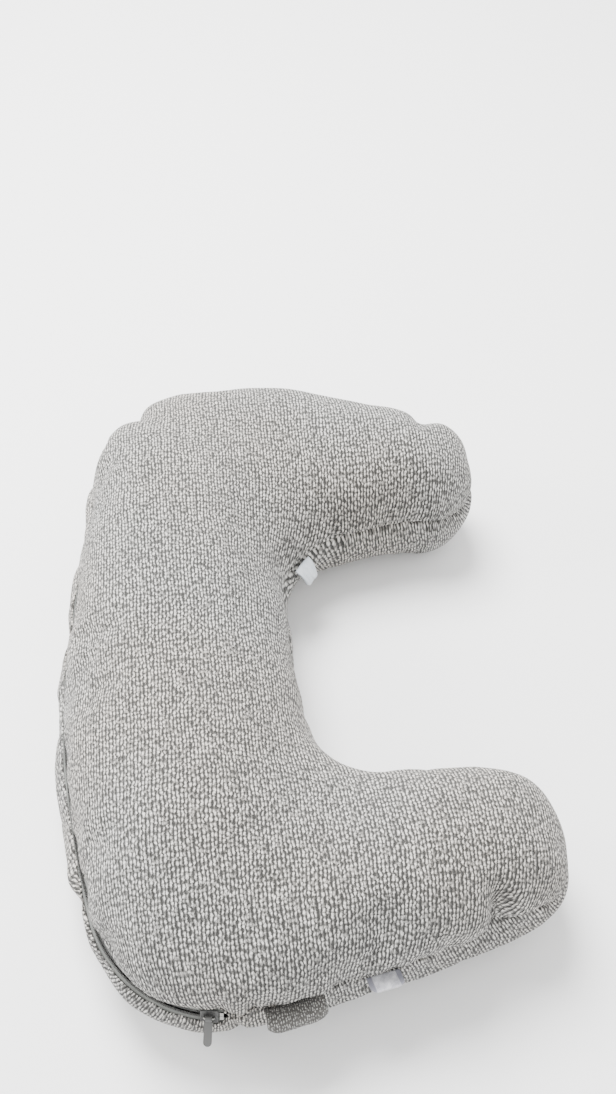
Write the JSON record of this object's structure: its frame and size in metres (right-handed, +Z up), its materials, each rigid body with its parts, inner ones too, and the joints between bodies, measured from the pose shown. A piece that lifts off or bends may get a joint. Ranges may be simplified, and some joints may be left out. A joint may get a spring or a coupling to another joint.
{
  "type": "nursing pillow",
  "caption": "C-shaped feeding pillow in a grey knitted cover with a zip round the back, a carry loop and small blank labels.",
  "frame": {"origin": "on the flat patch under the back, on the mid-plane, 101 mm in from the back seam", "axes": "+X from the back towards the waist opening, +Y along the long side towards the arm whose inner side carries the care label, +Z up"},
  "size_m": [0.405, 0.6255, 0.162],
  "materials": {
    "cover_knit": "matte",
    "casing_cloth": "matte",
    "fibre": "matte",
    "zip_tape": "matte",
    "zip_coil": "satin",
    "painted_metal": "satin",
    "bright_metal": "satin",
    "woven_label": "matte",
    "satin_label": "satin"
  },
  "bodies": {
    "root": {"cover_top_panel": "cover_knit", "cover_bottom_panel": "cover_knit", "inner_casing_top": "casing_cloth", "inner_casing_bottom": "casing_cloth", "fibre_filling": "fibre", "zip_tape_upper": "zip_tape", "zip_tape_lower": "zip_tape", "zip_coil_upper": "zip_coil", "zip_coil_lower": "zip_coil", "zip_top_stop_upper": "bright_metal", "zip_top_stop_lower": "bright_metal", "zip_bottom_stop": "bright_metal", "carry_loop": "cover_knit", "side_label": "woven_label", "care_label": "satin_label"},
    "slider": {"zip_slider_body": "painted_metal", "zip_slider_crown": "bright_metal"},
    "pull_tab": {"zip_pull_tab": "painted_metal"}
  },
  "joints": [
    {"name": "zip_travel", "type": "hinge", "parent": "root", "child": "slider", "pos_m": [0.03544, -0.188, 0.078], "axis": [0, 0, -1], "range_deg": [0, 62]},
    {"name": "pull_swing", "type": "hinge", "parent": "slider", "child": "pull_tab", "pos_m": [0.01436, -0.30013, 0.08087], "axis": [-0.9828, 0.1847, 0], "range_deg": [0, 140]}
  ]
}
